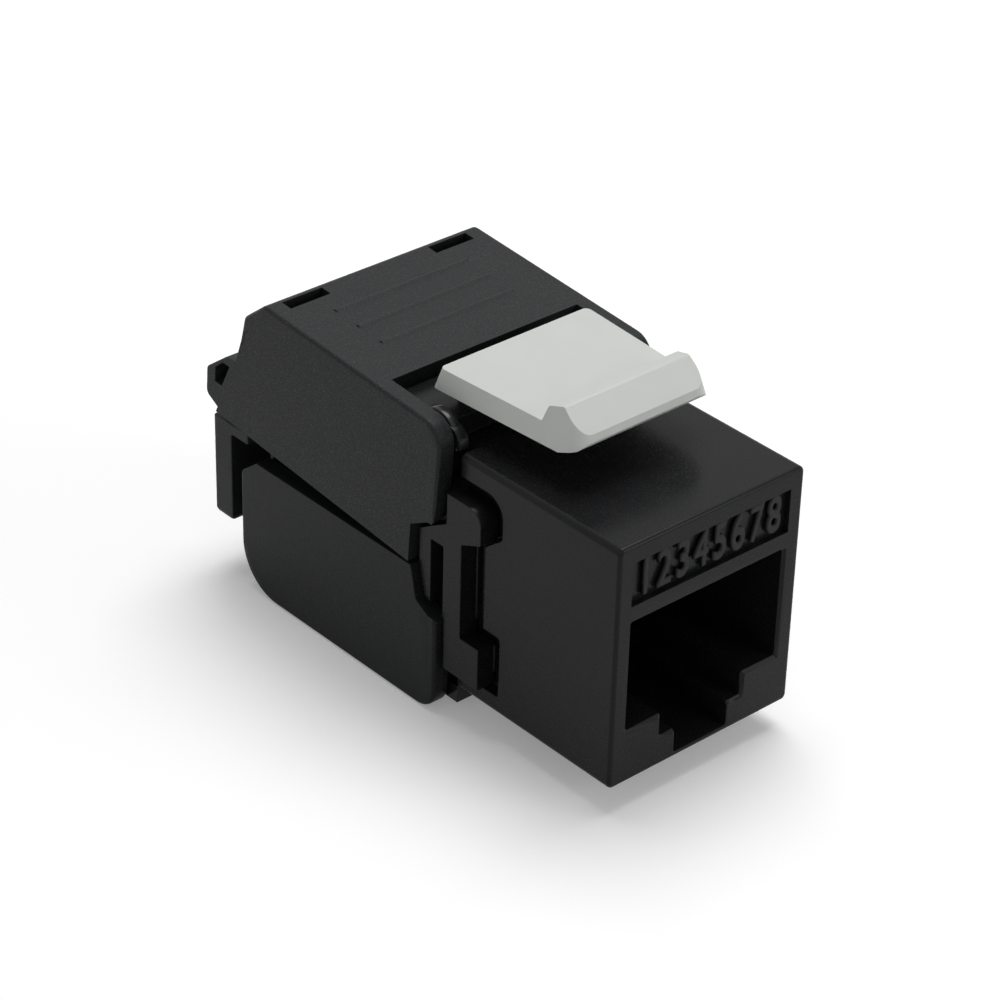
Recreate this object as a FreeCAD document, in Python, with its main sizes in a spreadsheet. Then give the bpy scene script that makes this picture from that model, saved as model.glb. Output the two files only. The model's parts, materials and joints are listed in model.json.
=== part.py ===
"""Tool-less keystone jack for eight-wire data cable, in millimetres.

X runs across the jack, Y from its front face to the cable, Z up. Heights in the sheet and in the
sketches are measured from the underside of the front housing, and lengths from its front face.
Each sub-part's Placement then lowers the model, so that its origin is the middle of the port's mouth.
"""
import FreeCAD, Part

import os
import re

import Sketcher
from FreeCAD import Rotation, Vector

SIZES = {
    # Front housing: a box with the port, a label field, side recesses and a fixed lug
    "housing_width": 14.5,
    "housing_height": 16.3,
    "housing_depth": 13.4,
    "housing_round": 0.4,
    "front_round": 0.25,
    "front_wall": 2.0,
    "port_wall": 1.25,
    "port_floor": 3.6,
    "port_lintel": 5.3,
    "port_chamfer": 0.2,
    "shelf_gap": 6.5,
    "shelf_foot": 2.0,
    "key_width": 4.2,
    "key_floor": 0.4,
    "label_inset": 1.05,
    "label_lintel": 1.2,
    "label_margin": 1.2,
    "label_depth": 0.4,
    "lug_width": 9.4,
    "lug_front": 8.2,
    "lug_drop": 1.4,
    "lug_land": 1.2,
    "lug_ramp": 1.6,
    # Side recess of the front housing, around the snap arm
    "recess_depth": 0.8,
    "recess_gap": 0.95,
    "recess_round": 1.3,
    "rail_width": 0.25,
    "rail_height": 0.45,
    "tongue_gap": 1.15,
    # Snap arms of the rear body
    "arm_thickness": 1.4,
    "arm_proud": 0.75,
    "arm_length": 2.7,
    "arm_drop": 2.5,
    "arm_foot": 1.5,
    "arm_round": 1.0,
    "arm_head": 2.55,
    "bay_depth": 1.65,
    "bay_slant": 0.35,
    "bay_foot": 4.4,
    "window_set": 0.55,
    "window_width": 1.1,
    "window_foot": 5.2,
    "window_margin": 1.25,
    # Rear body
    "body_foot": 1.3,
    "join_gap": 0.05,
    "ear_width": 0.75,
    "ear_set": 0.2,
    "ear_round": 1.2,
    "void_depth": 1.5,
    "void_length": 1.3,
    "saddle_lead": 1.4,
    "saddle_tail": 3.1,
    "heel_lead": 1.3,
    "heel_tail": 1.5,
    "heel_drop": 1.3,
    "heel_round": 0.9,
    "rail_tail": 0.4,
    "rail_sole": 1.0,
    "rail_lip": 1.05,
    "ledge_width": 0.7,
    # Hinges of the two wings
    "pin_radius": 0.8,
    "pin_length": 0.8,
    "pin_gap": 0.05,
    "cover_hinge_set": 2.3,
    "cover_hinge_rise": 0.1,
    "cap_hinge_set": 2.4,
    "cap_hinge_height": -0.2,
    # Both wings
    "wing_overhang": 1.2,
    "wing_wall": 1.15,
    "wing_gap": 0.15,
    "wing_edge": 0.6,
    "wing_seam": 0.1,
    "seam_gap": 0.25,
    # Upper wing, drawn level and then pitched about its hinge
    "cover_pitch": 3.9,
    "cover_rise": 1.8,
    "cover_lead": 1.75,
    "cover_nose": 1.5,
    "roof_gap": 0.3,
    "roof_short": 3.65,
    "shoulder_short": 1.8,
    "shoulder_drop": 1.7,
    "waist_short": 1.2,
    "waist_drop": 5.1,
    "tail_long": 0.7,
    "tail_rise": 0.5,
    "step_set": 0.3,
    "step_rise": 2.7,
    "chin_set": 0.25,
    "chin_rise": 1.15,
    "slot_length": 3.05,
    "slot_inset": 0.05,
    "slot_width": 0.85,
    "slot_rim": 0.3,
    "grip_length": 10.4,
    "grip_width": 0.4,
    "grip_height": 0.08,
    "grip_set": 3.3,
    "grip_pitch": 2.15,
    "presser_width": 0.9,
    "presser_play": 1.25,
    "loop_width": 1.2,
    "loop_reach": 0.95,
    "loop_round": 0.5,
    "eye_set": 0.65,
    "eye_length": 1.4,
    "eye_drop": 0.85,
    "eye_height": 1.75,
    "eye_slant": 0.7,
    # Lower wing
    "cap_lead": 1.7,
    "cap_top": 7.75,
    "cap_gap": 1.2,
    "cap_bottom": -1.85,
    "cap_nose": 1.6,
    "cap_heel": 3.4,
    "cap_bevel": 1.65,
    "cap_step_set": 0.55,
    "cap_step_height": 5.55,
    "cap_chin_set": 0.05,
    "cap_chin_height": 4.75,
    "cap_floor_set": 2.2,
    # Cable bracket between the wings
    "bracket_inset": 0.25,
    "bracket_set": 2.6,
    "bracket_thickness": 1.75,
    "bracket_foot": 1.9,
    "bracket_brow": 1.0,
    "bracket_round": 0.5,
    "cheek_width": 0.8,
    "cheek_height": 0.8,
    "cheek_length": 1.7,
    "strut_foot": 7.95,
    "strut_width": 1.1,
    "tenon_width": 0.5,
    "tenon_height": 0.7,
    "tenon_length": 1.0,
    "tenon_gap": 0.05,
    "cable_bore": 8.0,
    "cable_height": 8.2,
    # Panel latch
    "latch_width": 12.2,
    "latch_front_width": 10.6,
    "latch_draft": 13.0,
    "latch_lift": 0.95,
    "latch_thickness": 1.3,
    "latch_heel": 1.1,
    "latch_corner": 0.4,
    "catch_corner": 1.1,
    "catch_back": 8.9,
    "catch_lean": 0.3,
    "catch_rise": 1.0,
    "catch_crest": 7.5,
    "catch_crest_rise": 1.35,
    "catch_front": 5.6,
    "catch_front_drop": 0.25,
    "catch_lip_back": 6.1,
    "catch_lip_drop": 0.85,
    "catch_heel": 7.3,
    "catch_round": 0.22,
    "root_set": 2.9,
    "root_rise": 0.6,
    "root_radius": 0.7,
    "root_length": 9.2,
    "root_leg": 1.0,
    "root_gap": 0.06,
    "root_swing": 0.5,
    # Circuit board
    "board_play": 0.1,
    "board_set": 0.6,
    "board_tail": 1.5,
    "board_foot": 6.9,
    "board_thickness": 1.2,
    "board_hole": 0.4,
    # Contact sled and the eight spring contacts
    "chamber_roof": 1.3,
    "sled_front": 2.3,
    "sled_play": 0.1,
    "sled_gap": 0.05,
    "sled_slot_front": 3.3,
    "sled_slot_width": 0.62,
    "sled_back_wall": 1.2,
    "comb_web": 1.9,
    "comb_play": 0.4,
    "tunnel_play": 0.2,
    "contact_pitch": 1.016,
    "contact_width": 0.46,
    "contact_thickness": 0.3,
    "tail_set": 1.0,
    "contact_tail_step": 1.5,
    "contact_tail_bend": 0.7,
    "contact_bend_reach": 4.75,
    "contact_bend": 0.6,
    "contact_slope": 27.0,
    "contact_tip_reach": 10.6,
    # Wire blocks and their slotted terminals
    "block_inset": 0.8,
    "block_gap": 1.1,
    "block_length": 9.0,
    "block_height": 5.1,
    "wire_spare": 0.2,
    "wire_groove": 1.1,
    "wire_groove_depth": 3.4,
    "blade_spare": 0.5,
    "blade_thickness": 0.5,
    "blade_height": 4.8,
    "blade_gap": 0.05,
    "blade_slot": 0.34,
    "blade_slot_depth": 3.3,
    "blade_mouth": 0.9,
    "blade_mouth_depth": 0.6,
    "blade_inset": 2.5,
}

# Places and sizes that follow from the ones above
DERIVED = {
    "port_width": "housing_width - 2 * port_wall",
    "port_top": "housing_height - port_lintel",
    "label_width": "housing_width - 2 * label_inset",
    "label_floor": "port_top + label_lintel",
    "label_top": "housing_height - label_margin",
    "chamber_top": "housing_height - chamber_roof",
    "sled_top": "chamber_top - sled_play",
    "sled_slot_top": "sled_top - comb_web",
    "contact_leg_height": "sled_slot_top - comb_play",
    "tunnel_top": "sled_slot_top + tunnel_play",
    "arm_front": "housing_depth - arm_length",
    "arm_top": "housing_height - arm_drop",
    "bay_front": "arm_front + bay_depth",
    "bay_top": "arm_top - arm_head",
    "window_front": "housing_depth + window_set",
    "window_top": "bay_top - window_margin",
    "wing_width": "housing_width + 2 * wing_overhang",
    "wing_inside": "wing_width / 2 - wing_wall",
    "body_width": "2 * (wing_inside - wing_gap)",
    "root_reach": "housing_depth + root_set",
    "root_height": "housing_height + root_rise",
    "saddle_front": "root_reach - saddle_lead",
    "saddle_top": "root_height + root_radius",
    "body_back": "root_reach + saddle_tail",
    "latch_back": "root_reach + latch_heel",
    "latch_bottom": "saddle_top + latch_lift",
    "latch_top": "latch_bottom + latch_thickness",
    "cover_hinge_reach": "housing_depth + cover_hinge_set",
    "cover_hinge_height": "housing_height + cover_hinge_rise",
    "cap_hinge_reach": "housing_depth + cap_hinge_set",
    "heel_front": "cap_hinge_reach - heel_lead",
    "heel_back": "cap_hinge_reach + heel_tail",
    "board_width": "port_width - 2 * board_play",
    "board_front": "housing_depth + board_set",
    "board_top": "board_foot + board_thickness",
    "contact_tail_reach": "board_front + tail_set",
    "block_width": "board_width - 2 * block_inset",
    "block_front": "body_back + block_gap",
    "block_back": "block_front + block_length",
    "wire_pitch": "(block_width + wire_spare) / 4",
    "blade_width": "wire_pitch - blade_spare",
    "blade_near": "block_front + blade_inset",
    "blade_far": "block_back - blade_inset",
    "board_back": "block_back + board_tail",
    "rail_back": "board_back + rail_tail",
    "rail_foot": "board_foot - rail_sole",
    "rail_top": "board_top + rail_lip",
    "bracket_front": "rail_back + bracket_set",
    "bracket_width": "wing_width - 2 * bracket_inset",
    "bracket_top": "cable_height + bracket_brow",
    "cover_top": "cover_hinge_height + cover_rise",
    "cover_front": "cover_hinge_reach - cover_lead",
    "cover_roof_front": "body_back + roof_gap",
    "cover_roof_back": "bracket_front - roof_short",
    "cover_shoulder_back": "bracket_front - shoulder_short",
    "cover_shoulder_height": "cover_top - shoulder_drop",
    "cover_waist_back": "bracket_front - waist_short",
    "cover_waist_height": "cover_top - waist_drop",
    "cover_foot": "cap_top + wing_seam",
    "cover_tail_back": "bracket_front + tail_long",
    "cover_tail_height": "cover_foot + tail_rise",
    "cover_step_back": "cover_hinge_reach + step_set",
    "cover_step_top": "cover_foot + step_rise",
    "cover_chin_front": "cover_front + chin_set",
    "cover_chin_height": "cover_step_top + chin_rise",
    "slot_inner": "wing_inside - slot_length - slot_inset",
    "grip_first": "cover_roof_front + grip_set",
    "presser_depth": "cover_top - wing_wall - board_top - block_height - presser_play",
    "eye_front": "cover_waist_back + eye_set",
    "eye_back": "eye_front + eye_length",
    "eye_top": "cover_waist_height - eye_drop",
    "eye_foot": "eye_top - eye_height",
    "cap_front": "cap_hinge_reach - cap_lead",
    "cap_back": "bracket_front - cap_gap",
    "cap_step_back": "cap_hinge_reach + cap_step_set",
    "cap_chin_back": "cap_hinge_reach + cap_chin_set",
    "cap_floor_front": "cap_hinge_reach + cap_floor_set",
}


DOC = FreeCAD.newDocument("KeystoneJack")
SHEET = DOC.addObject("Spreadsheet::Sheet", "Sizes")
PIECES = []
CONTACTS = 8
BLOCK_WIRES = 4
SAME_LENGTH = 1e-3
LEAST_CUT = 1e-4
ACROSS = Vector(1, 0, 0)
DEEP = Vector(0, 1, 0)
UP = Vector(0, 0, 1)
PORT_AXIS = "(port_floor + port_top) / 2"


def fill_sheet():
    """Write each size, and each place that follows from them, with its alias to a row of the sheet."""
    rows = [(alias, str(value)) for alias, value in SIZES.items()]
    rows += [(alias, f"={formula}") for alias, formula in DERIVED.items()]
    for row, (alias, content) in enumerate(rows, start=1):
        SHEET.set(f"A{row}", alias)
        SHEET.set(f"B{row}", content)
        SHEET.setAlias(f"B{row}", alias)
    DOC.recompute()


def bound(text):
    """Point each size named in an expression at its cell: every alias has an underscore."""
    return re.sub(r"\b([a-z]+(?:_[a-z]+)+)\b", r"Sizes.\1", text)


def size(text):
    """The present value of an expression in the sheet's sizes."""
    return float(SHEET.evalExpression(bound(text)))


class Piece:
    """One sub-part: a PartDesign body with sketches on its own origin planes.

    Sketch points are expressions, given in the jack's own lengths and heights even where the body
    has its origin at a hinge, which `hinge` names as (reach, height).
    """

    def __init__(self, name, hinge=("0", "0"), pitch=None):
        self.name = name
        self.hinge = hinge
        self.body = DOC.addObject("PartDesign::Body", name)
        self.body.Label = name
        if pitch:
            self.body.Placement.Rotation = Rotation(Vector(1, 0, 0), size(pitch))
            self.body.setExpression("Placement.Rotation.Angle", bound(pitch))
        self.body.setExpression("Placement.Base.y", bound(hinge[0]))
        self.body.setExpression("Placement.Base.z", bound(f"{hinge[1]} - {PORT_AXIS}"))
        PIECES.append(self)

    def plane(self, role):
        """One of the body's own origin planes."""
        return next(each for each in self.body.Origin.OriginFeatures if each.Role == role)

    def axis_texts(self, role):
        """What to take off the first and second sketch coordinate, and off the plane's place."""
        reach, height = self.hinge
        return {"XY_Plane": ("0", reach, height),
                "XZ_Plane": ("0", height, reach),
                "YZ_Plane": (reach, height, "0")}[role]

    def sketch(self, role, place="0"):
        """A sketch on a plane parallel to an origin plane, at `place` along the third axis."""
        shift = self.axis_texts(role)[2]
        sign = "-1" if role == "XZ_Plane" else "1"
        drawing = self.body.newObject("Sketcher::SketchObject", f"{self.name}_sketch")
        drawing.AttachmentSupport = [(self.plane(role), "")]
        drawing.MapMode = "FlatFace"
        drawing.setExpression("AttachmentOffset.Base.z", bound(f"{sign} * (({place}) - ({shift}))"))
        return drawing

    def pin_point(self, drawing, shape, position, point, role):
        """Tie a sketch point to its two expressions; None leaves one of them free."""
        for kind, text, shift, axis in zip(("DistanceX", "DistanceY"), point,
                                           self.axis_texts(role)[:2], (-2, -1)):
            if text is None:
                continue
            text = f"({text}) - ({shift})"
            value = size(text)
            if text == "(0) - (0)":
                drawing.addConstraint(Sketcher.Constraint("PointOnObject", shape, position, axis))
                continue
            index = drawing.addConstraint(Sketcher.Constraint(kind, -1, 1, shape, position, value))
            drawing.setExpression(f"Constraints[{index}]", bound(text))

    def start_point(self, point, role):
        """A sketch point's present place, to draw it at before it is tied."""
        shifts = self.axis_texts(role)[:2]
        return Vector(*(size(f"({text}) - ({shift})") for text, shift in zip(point, shifts)), 0)

    def outlines(self, role, rings, place="0"):
        """A sketch of closed straight-sided outlines, every corner tied to the sheet."""
        drawing = self.sketch(role, place)
        for ring in rings:
            corners = [self.start_point(point, role) for point in ring]
            first = drawing.GeometryCount
            count = len(ring)
            for step in range(count):
                side = Part.LineSegment(corners[step], corners[(step + 1) % count])
                drawing.addGeometry(side, False)
            for step in range(count):
                follower = first + (step + 1) % count
                joint = Sketcher.Constraint("Coincident", first + step, 2, follower, 1)
                drawing.addConstraint(joint)
            for step, point in enumerate(ring):
                self.pin_point(drawing, first + step, 1, point, role)
        return drawing

    def circles(self, role, rounds, place="0"):
        """A sketch of circles, each a centre and a radius tied to the sheet."""
        drawing = self.sketch(role, place)
        for centre, radius in rounds:
            middle = self.start_point(centre, role)
            circle = Part.Circle(middle, Vector(0, 0, 1), size(radius))
            shape = drawing.addGeometry(circle, False)
            self.pin_point(drawing, shape, 3, centre, role)
            index = drawing.addConstraint(Sketcher.Constraint("Radius", shape, size(radius)))
            drawing.setExpression(f"Constraints[{index}]", bound(radius))
        return drawing

    def extrude(self, kind, drawing, length, symmetric, backward):
        """A pad or pocket of a sketch, its length tied to the sheet."""
        feature = self.body.newObject(f"PartDesign::{kind}", f"{self.name}_{kind.lower()}")
        feature.Profile = drawing
        feature.setExpression("Length", bound(length))
        feature.SideType = "Symmetric" if symmetric else "One side"
        feature.Reversed = backward
        DOC.recompute()
        return feature

    def pad(self, drawing, length, symmetric=False, backward=False):
        """Add material."""
        return self.extrude("Pad", drawing, length, symmetric, backward)

    def pocket(self, drawing, length, symmetric=False, backward=False):
        """A cut, checked to have taken material away."""
        before = self.body.Tip.Shape.Volume
        feature = self.extrude("Pocket", drawing, length, symmetric, backward)
        if feature.Shape.Volume > before - LEAST_CUT:
            raise RuntimeError(f"a pocket of {self.name} cuts nothing")
        return feature

    def mirror(self, features):
        """Repeat features on the other side of the jack's middle plane."""
        feature = self.body.newObject("PartDesign::Mirrored", f"{self.name}_mirror")
        feature.Originals = features
        feature.MirrorPlane = (self.plane("YZ_Plane"), [""])
        self.body.Tip = feature
        DOC.recompute()
        return feature

    def row(self, features, count, pitch):
        """Repeat features along X."""
        feature = self.body.newObject("PartDesign::LinearPattern", f"{self.name}_row")
        feature.Originals = features
        axis = next(each for each in self.body.Origin.OriginFeatures if each.Role == "X_Axis")
        feature.Direction = (axis, [""])
        feature.Occurrences = count
        feature.setExpression("Length", bound(f"{count - 1} * {pitch}"))
        self.body.Tip = feature
        DOC.recompute()
        return feature

    def edges(self, test, along=None):
        """Names of the tip's edges whose ends pass a test on (x, y, z), maybe only those along an axis."""
        offset = Vector(0, size(self.hinge[0]), size(self.hinge[1]))
        names = []
        for number, edge in enumerate(self.body.Tip.Shape.Edges, start=1):
            ends = [vertex.Point + offset for vertex in edge.Vertexes]
            if len(ends) != 2 or not all(test(*end) for end in ends):
                continue
            run = ends[1] - ends[0]
            if along is None or near(abs(run.dot(along)), run.Length):
                names.append(f"Edge{number}")
        if not names:
            raise RuntimeError(f"no edge of {self.name} matches")
        return names

    def along_x(self, *places):
        """Edges parallel to X at the given (length, height) places."""
        spots = [(size(reach), size(height)) for reach, height in places]
        return self.edges(lambda x, y, z: any(near(y, spot[0]) and near(z, spot[1]) for spot in spots),
                          ACROSS)

    def soften(self, kind, amount, names):
        """A fillet or chamfer on named edges."""
        base = self.body.Tip
        feature = self.body.newObject(f"PartDesign::{kind}", f"{self.name}_{kind.lower()}")
        feature.Base = (base, names)
        feature.setExpression("Radius" if kind == "Fillet" else "Size", bound(amount))
        DOC.recompute()
        return feature

    def round(self, radius, names):
        """A fillet."""
        return self.soften("Fillet", radius, names)

    def bevel(self, width, names):
        """A chamfer."""
        return self.soften("Chamfer", width, names)


def near(value, target):
    """Whether two lengths agree to a micrometre."""
    return abs(value - target) < SAME_LENGTH


def box(left, right, low, high):
    """A rectangle's four corners, from expressions for its sides."""
    return [(left, low), (right, low), (right, high), (left, high)]


def centred(width, low, high):
    """A rectangle that lies across the jack's middle plane."""
    return box(f"-({width}) / 2", f"({width}) / 2", low, high)


def contact_place(number):
    """Where a contact lies across the jack, counted from 1 at the left."""
    return f"({number} - {(CONTACTS + 1) / 2}) * contact_pitch"


def wire_place(number):
    """Where a wire of a block lies across the jack, counted from 1 at the left."""
    return f"({number} - {(BLOCK_WIRES + 1) / 2}) * wire_pitch"


def port_outline(gap, top):
    """The port's section, with steps in its floor for the plug's tab; `gap` draws it in all round."""
    steps = [("port_width / 2", top), ("port_width / 2", "port_floor"),
             ("shelf_gap / 2", "port_floor"), ("shelf_gap / 2", "shelf_foot"),
             ("key_width / 2", "shelf_foot"), ("key_width / 2", "key_floor")]
    right = [(f"{across} - {gap}", up if up == top else f"{up} + {gap}") for across, up in steps]
    left = [(f"-({across})", up) for across, up in reversed(right)]
    return left + right


def front_housing():
    """The front shell: the port, the label's recess and the side recesses that hold the snap arms."""
    piece = Piece("front_housing")
    width, height = "housing_width", "housing_height"
    piece.pad(piece.outlines("XZ_Plane", [centred(width, "0", height)]), "housing_depth", backward=True)
    half, tall = size("housing_width / 2"), size(height)
    piece.round("housing_round", piece.edges(
        lambda x, y, z: near(abs(x), half) and (near(z, 0) or near(z, tall)), DEEP))
    piece.round("front_round", piece.edges(lambda x, y, z: near(y, 0)))

    piece.pocket(piece.outlines("XZ_Plane", [port_outline("0", "port_top")]), "housing_depth")
    side, top, foot = size("port_width / 2"), size("port_top"), size("shelf_foot")
    piece.bevel("port_chamfer", piece.edges(
        lambda x, y, z: near(y, 0) and abs(x) < side + SAME_LENGTH
        and foot - SAME_LENGTH < z < top + SAME_LENGTH))

    chamber = centred("port_width", "port_top - sled_gap", "chamber_top")
    piece.pocket(piece.outlines("XZ_Plane", [chamber], "front_wall"), "housing_depth - front_wall")
    label = centred("label_width", "label_floor", "label_top")
    piece.pocket(piece.outlines("XZ_Plane", [label]), "label_depth")

    front, back = "arm_front - recess_gap", "housing_depth"
    tongue = "bay_front - tongue_gap"
    recess = [(back, "arm_top + recess_gap"), (front, "arm_top + recess_gap"),
              (front, "bay_top + recess_gap"),
              (tongue, "bay_top - bay_slant / 2"), (tongue, "bay_foot + recess_gap"),
              (front, "bay_foot + recess_gap"), (front, "arm_foot - seam_gap"),
              (back, "arm_foot - seam_gap")]
    cut = piece.pocket(piece.outlines("YZ_Plane", [recess], "housing_width / 2"), "recess_depth")
    rail_front = "bay_front - rail_width"
    low_front = "arm_front - rail_width"
    rails = [box(rail_front, "bay_front", "bay_foot + recess_gap", "bay_top - bay_slant"),
             box(low_front, "arm_front", "arm_foot + recess_gap", "bay_foot")]
    rib = piece.pad(piece.outlines("YZ_Plane", rails, "housing_width / 2 - recess_depth"), "rail_height")
    piece.mirror([cut, rib])
    piece.round("recess_round", piece.along_x((front, "arm_top + recess_gap")))

    lug = [("lug_front", "front_round"), ("lug_front", "-lug_drop"),
           ("lug_front + lug_land", "-lug_drop"), ("lug_front + lug_land + lug_ramp", "front_round")]
    piece.pad(piece.outlines("YZ_Plane", [lug]), "lug_width", symmetric=True)


def panel_latch():
    """The snap that holds the panel: a tapered plate with a catch, on a thin neck."""
    piece = Piece("panel_latch", hinge=("root_reach", "root_height"))
    wide, narrow, front = "latch_width / 2", "latch_front_width / 2", "catch_front"
    plan = [(f"-({narrow})", front), (narrow, front), (wide, "latch_back"), (f"-({wide})", "latch_back")]
    plate = piece.pad(piece.outlines("XY_Plane", [plan], "latch_bottom"),
                      "latch_thickness + catch_crest_rise")
    plate.setExpression("TaperAngle", "-Sizes.latch_draft")
    DOC.recompute()
    middle = size("(latch_back + catch_front) / 2")
    for side in (-1, 1):
        piece.round("catch_corner", piece.edges(lambda x, y, z: x * side > 0 and y < middle))
        piece.round("latch_corner", piece.edges(lambda x, y, z: x * side > 0 and y > middle))
    above, ahead = "latch_top + 2 * catch_crest_rise", "catch_front - latch_thickness"
    crown = [("latch_back + latch_thickness", "latch_top"), ("catch_back", "latch_top"),
             ("catch_back - catch_lean", "latch_top + catch_rise"),
             ("catch_crest", "latch_top + catch_crest_rise"),
             ("catch_front", "latch_top - catch_front_drop"),
             ("catch_lip_back", "latch_top - catch_lip_drop"), ("catch_heel", "latch_bottom"),
             ("catch_heel", "latch_bottom - latch_thickness"), (ahead, "latch_bottom - latch_thickness"),
             (ahead, above), ("latch_back + latch_thickness", above)]
    piece.pocket(piece.outlines("YZ_Plane", [crown]), "2 * latch_width", symmetric=True)
    piece.round("catch_round", piece.along_x(
        ("catch_back - catch_lean", "latch_top + catch_rise"),
        ("catch_crest", "latch_top + catch_crest_rise"), ("catch_front", "latch_top - catch_front_drop"),
        ("catch_lip_back", "latch_top - catch_lip_drop")))
    bead = piece.circles("YZ_Plane", [(("root_reach", "root_height"), "root_radius")])
    piece.pad(bead, "root_length", symmetric=True)
    neck = box("root_reach - root_leg / 2", "root_reach + root_leg / 2", "root_height", "latch_bottom")
    piece.pad(piece.outlines("YZ_Plane", [neck]), "root_length", symmetric=True)


def arm_outline():
    """The snap arm: a C that opens forward, with its back edge clear of both wings."""
    rear = "cap_front - seam_gap"
    return [("cover_chin_front - 2 * seam_gap", "arm_top"), ("arm_front", "arm_top"),
            ("arm_front", "bay_top + bay_slant"), ("bay_front", "bay_top - bay_slant"),
            ("bay_front", "bay_foot"), ("arm_front", "bay_foot"),
            ("arm_front", "arm_foot"), (rear, "arm_foot"),
            (rear, "cap_chin_height + seam_gap"),
            ("cap_chin_back - seam_gap", "cap_step_height + seam_gap"),
            ("cap_step_back - seam_gap", "cap_top"),
            ("cover_step_back + seam_gap / 2", "cover_step_top - seam_gap"),
            ("cover_chin_front - 2 * seam_gap", "cover_chin_height")]


def rear_body():
    """The inner body: hinge pins and ears, the snap arms, the latch's saddle and the board's rails."""
    piece = Piece("rear_body")
    front = "housing_depth + join_gap"
    block = [(front, "body_foot"), (front, "housing_height"), ("saddle_front", "housing_height"),
             ("saddle_front", "saddle_top"), ("body_back", "saddle_top"), ("body_back", "body_foot")]
    piece.pad(piece.outlines("YZ_Plane", [block]), "body_width", symmetric=True)

    inner = "body_width / 2 - ear_width"
    ear_front = "housing_depth + ear_set"
    ear = box(ear_front, "saddle_front", "housing_height", "saddle_top")
    heel = box("heel_front", "heel_back", "-heel_drop", "body_foot")
    ears = piece.pad(piece.outlines("YZ_Plane", [ear, heel], inner), "ear_width")
    pins = piece.pad(piece.circles("YZ_Plane", [
        (("cover_hinge_reach", "cover_hinge_height"), "pin_radius"),
        (("cap_hinge_reach", "cap_hinge_height"), "pin_radius")], "body_width / 2"), "pin_length")
    arm_side = "housing_width / 2 + arm_proud"
    arm_sketch = piece.outlines("YZ_Plane", [arm_outline()], f"{arm_side} - arm_thickness")
    arm = piece.pad(arm_sketch, "arm_thickness")
    window = box("window_front", "window_front + window_width", "window_foot", "window_top")
    slot = piece.pocket(piece.outlines("YZ_Plane", [window], arm_side), "arm_thickness")
    dark = box(front, f"{front} + void_length", "arm_top", "housing_height")
    void = piece.pocket(piece.outlines("YZ_Plane", [dark], "body_width / 2"), "void_depth")
    piece.mirror([ears, pins, arm, slot, void])

    tunnel = centred("board_width + 2 * sled_gap", "board_foot", "tunnel_top")
    piece.pocket(piece.outlines("XZ_Plane", [tunnel], front), "body_back - housing_depth")
    groove = piece.circles("YZ_Plane", [(("root_reach", "root_height"), "root_radius + root_gap")])
    piece.pocket(groove, "root_length + 4 * root_gap", symmetric=True)
    mouth = box("root_reach - root_leg / 2 - root_swing", "root_reach + root_leg / 2 + root_swing",
                "root_height", "saddle_top + root_gap")
    piece.pocket(piece.outlines("YZ_Plane", [mouth]), "root_length + 4 * root_gap", symmetric=True)

    outer, groove_side = "body_width / 2", "board_width / 2 + sled_gap"
    ledge_side = f"{groove_side} - ledge_width"
    rail = [(groove_side, "rail_top"), (groove_side, "board_foot"), (ledge_side, "board_foot"),
            (ledge_side, "rail_foot"), (outer, "rail_foot"), (outer, "rail_top")]
    rails = piece.pad(piece.outlines("XZ_Plane", [rail], "body_back"), "rail_back - body_back",
                      backward=True)
    socket = tenon_outline("tenon_gap")
    sockets = piece.pocket(piece.outlines("XZ_Plane", [socket], "rail_back"), "tenon_length + tenon_gap",
                           backward=True)
    piece.mirror([rails, sockets])

    piece.round("arm_round", piece.along_x(("arm_front", "arm_top")))
    piece.round("ear_round", piece.along_x((ear_front, "saddle_top")))
    piece.round("heel_round", piece.along_x(("heel_front", "-heel_drop"), ("heel_back", "-heel_drop")))


def tenon_outline(gap="0"):
    """Where the bracket's strut plugs into the end of the body's rail."""
    middle, height = "(body_width / 2 - strut_width / 2)", "(strut_foot + rail_top) / 2"
    return box(f"{middle} - tenon_width / 2 - {gap}", f"{middle} + tenon_width / 2 + {gap}",
               f"{height} - tenon_height / 2 - {gap}", f"{height} + tenon_height / 2 + {gap}")


def cable_bracket():
    """The fixed rear wall between the wings, notched for the cable."""
    piece = Piece("cable_bracket")
    wall = centred("bracket_width", "bracket_foot", "bracket_top")
    piece.pad(piece.outlines("XZ_Plane", [wall], "bracket_front"), "bracket_thickness", backward=True)
    half, low = size("bracket_width / 2"), size("bracket_foot")
    piece.round("bracket_round", piece.edges(lambda x, y, z: near(abs(x), half) and near(z, low)))
    bore = piece.circles("XZ_Plane", [(("0", "cable_height"), "cable_bore / 2")], "bracket_front")
    piece.pocket(bore, "bracket_thickness")
    mouth = centred("cable_bore", "cable_height", "bracket_top + seam_gap")
    piece.pocket(piece.outlines("XZ_Plane", [mouth], "bracket_front"), "bracket_thickness")
    side = "bracket_width / 2"
    cheek = box(f"{side} - cheek_width", side, "bracket_top - cheek_height", "bracket_top")
    cheeks = piece.pad(piece.outlines("XZ_Plane", [cheek], "bracket_front"), "cheek_length")
    outer = "body_width / 2"
    strut = box(f"{outer} - strut_width", outer, "strut_foot", "rail_top")
    struts = piece.pad(piece.outlines("XZ_Plane", [strut], "bracket_front"), "bracket_front - rail_back")
    tenons = piece.pad(piece.outlines("XZ_Plane", [tenon_outline()], "rail_back"), "tenon_length")
    piece.mirror([cheeks, struts, tenons])


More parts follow.
